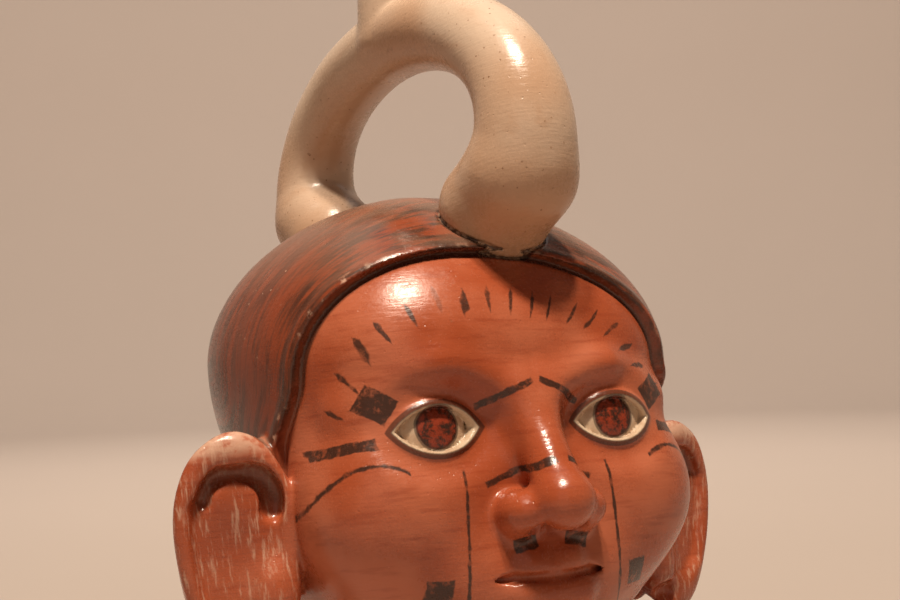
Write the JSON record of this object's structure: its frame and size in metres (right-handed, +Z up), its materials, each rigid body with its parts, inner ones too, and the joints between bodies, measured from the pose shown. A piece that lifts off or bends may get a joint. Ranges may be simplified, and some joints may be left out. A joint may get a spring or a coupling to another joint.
{
  "type": "stirrup spout vessel",
  "caption": "Hollow fired clay bottle shaped as a head with a close cap and large ears, with a looped tubular handle and a spout on top.",
  "frame": {"origin": "middle of the flat underside, under the middle of the stirrup", "axes": "+Z up the spout, the face looks along -Y, +X towards the head's own left ear"},
  "size_m": [0.2004, 0.1953, 0.301],
  "materials": {
    "fired_clay": "burnished slip: orange-red face, dark reddish brown cap, cream stirrup and spout"
  },
  "bodies": {
    "root": {"vessel": "fired_clay"}
  },
  "joints": []
}
